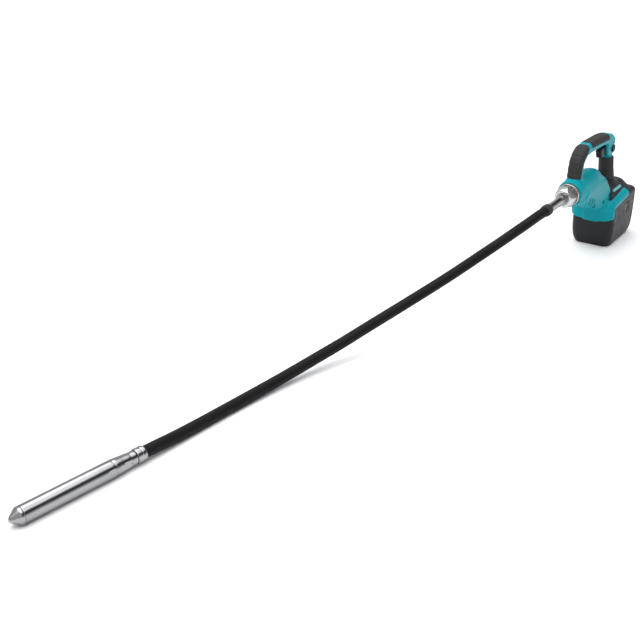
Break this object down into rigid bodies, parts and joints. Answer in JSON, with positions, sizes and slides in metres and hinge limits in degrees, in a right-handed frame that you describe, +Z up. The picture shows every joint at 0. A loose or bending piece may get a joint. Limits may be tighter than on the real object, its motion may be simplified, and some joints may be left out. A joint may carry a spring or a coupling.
{
  "type": "concrete vibrator",
  "caption": "Cordless concrete vibrator: battery motor unit with a loop handle, a flexible rubber hose and a steel vibrating head.",
  "frame": {"origin": "middle of the battery case's underside, on the surface that the tool stands on", "axes": "+X from the motor unit towards the hose, +Y to the operator's left, +Z up"},
  "size_m": [1.6343, 0.339, 0.2635],
  "materials": {
    "teal_plastic": "satin moulded plastic",
    "charcoal_plastic": "fine texture",
    "black_plastic": "satin",
    "soft_rubber": "matt",
    "hose_rubber": "matt, cloth marked",
    "polished_steel": "polished",
    "machined_steel": "machined",
    "cast_aluminium": "satin",
    "copper_winding": "varnished",
    "contact_brass": "plain",
    "circuit_board": "gloss",
    "label_film": "gloss"
  },
  "bodies": {
    "machine": {"housing_left": "teal_plastic", "housing_right": "teal_plastic", "housing_screw_1": "machined_steel", "housing_screw_2": "machined_steel", "housing_screw_3": "machined_steel", "front_grip_cover": "soft_rubber", "top_grip_cover": "soft_rubber", "rear_grip_cover": "soft_rubber", "grip_foot": "charcoal_plastic", "battery_case": "charcoal_plastic", "cover_hinge_pin": "machined_steel", "battery_pack": "black_plastic", "pack_rail": "black_plastic", "terminal_block": "contact_brass", "pack_cradle": "black_plastic", "latch_pin": "machined_steel", "trigger_spring": "machined_steel", "trigger_switch": "black_plastic", "controller_board": "circuit_board", "label_plate": "label_film", "motor_stator": "copper_winding", "motor_can": "machined_steel", "rear_motor_bearing": "machined_steel", "rear_bearing_holder": "charcoal_plastic", "front_motor_bearing": "machined_steel", "nose_flange": "cast_aluminium", "coupling_nut": "polished_steel", "hose_sleeve": "polished_steel", "hose": "hose_rubber", "flexible_shaft": "machined_steel", "hose_ferrule": "polished_steel", "head_coupling": "polished_steel", "head_tube": "polished_steel", "head_tip": "polished_steel", "head_seal": "soft_rubber", "rear_head_bearing": "machined_steel", "front_head_bearing": "machined_steel"},
    "battery_door": {"battery_cover": "charcoal_plastic"},
    "latch": {"cover_latch": "black_plastic"},
    "trigger": {"trigger": "black_plastic"},
    "lock_button": {"lock_button": "black_plastic"},
    "motor_shaft": {"motor_rotor": "machined_steel", "cooling_fan": "black_plastic"},
    "eccentric": {"eccentric_rotor": "machined_steel"}
  },
  "joints": [
    {"name": "cover_open", "type": "hinge", "parent": "machine", "child": "battery_door", "pos_m": [-0.016, -0.0535, 0.05], "axis": [0, 0, 1], "range_deg": [0, 105]},
    {"name": "latch_flip", "type": "hinge", "parent": "machine", "child": "latch", "pos_m": [-0.001, 0.0473, 0.078], "axis": [0, 0, -1], "range_deg": [0, 80], "stiffness_Nm_per_rad": 0.02},
    {"name": "trigger_pull", "type": "slide", "parent": "machine", "child": "trigger", "axis": [-1, 0, 0], "range_m": [0, 0.006], "stiffness_N_per_m": 700},
    {"name": "lock_push", "type": "slide", "parent": "machine", "child": "lock_button", "axis": [0, -1, 0], "range_m": [0, 0.002], "stiffness_N_per_m": 500},
    {"name": "motor_spin", "type": "hinge", "parent": "machine", "child": "motor_shaft", "pos_m": [0.15, 0, 0.168], "axis": [1, 0, 0], "continuous": true},
    {"name": "eccentric_spin", "type": "hinge", "parent": "machine", "child": "eccentric", "pos_m": [1.33, -0.2411, 0.0147], "axis": [0.9882, -0.1532, 0], "continuous": true}
  ],
  "couplings": [
    {"joint": "eccentric_spin", "follows": "motor_spin", "ratio": 1}
  ]
}
